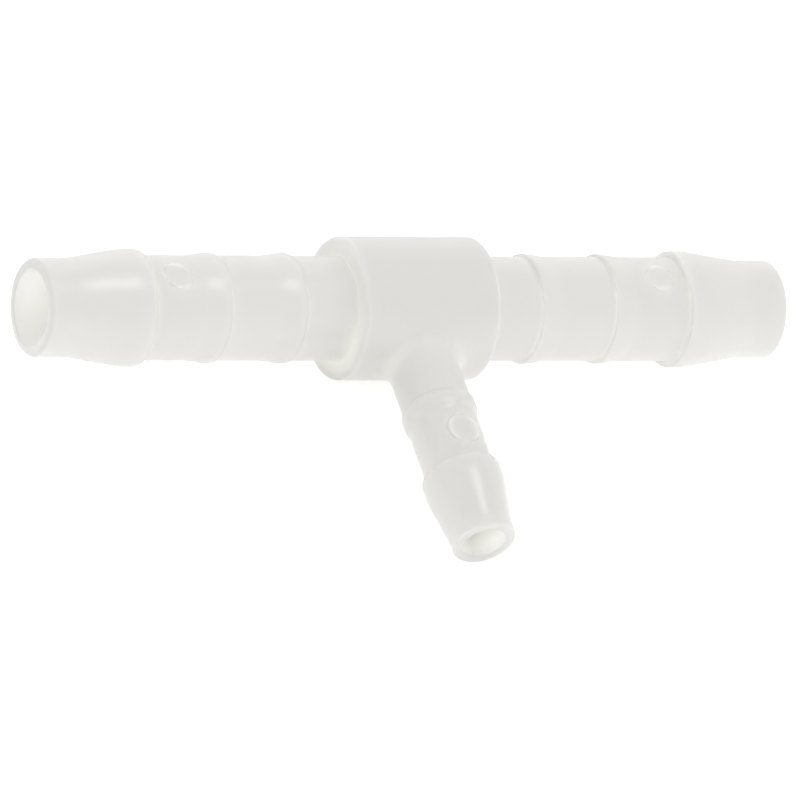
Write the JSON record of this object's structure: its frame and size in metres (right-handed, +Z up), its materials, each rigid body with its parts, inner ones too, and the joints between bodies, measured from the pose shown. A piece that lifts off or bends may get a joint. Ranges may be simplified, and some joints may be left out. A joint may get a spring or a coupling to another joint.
{
  "type": "drip line tee connector",
  "caption": "Moulded reducing hose tee: equal barbed tails in line on a thick plain barrel and a smaller barbed tail at a right angle, for joining soft hoses in a drip line.",
  "frame": {"origin": "crossing of the run's axis and the branch's axis, at the middle of the run's bore", "axes": "+X along the run; the branch points to -Y and droops below it by the few degrees at which the tee rests on a table; +Z up"},
  "size_m": [0.0972, 0.0432, 0.0168],
  "materials": {
    "natural_plastic": "natural, unpigmented polypropylene: milky and slightly translucent, satin"
  },
  "bodies": {
    "root": {"drip_line_tee": "natural_plastic"}
  },
  "joints": []
}
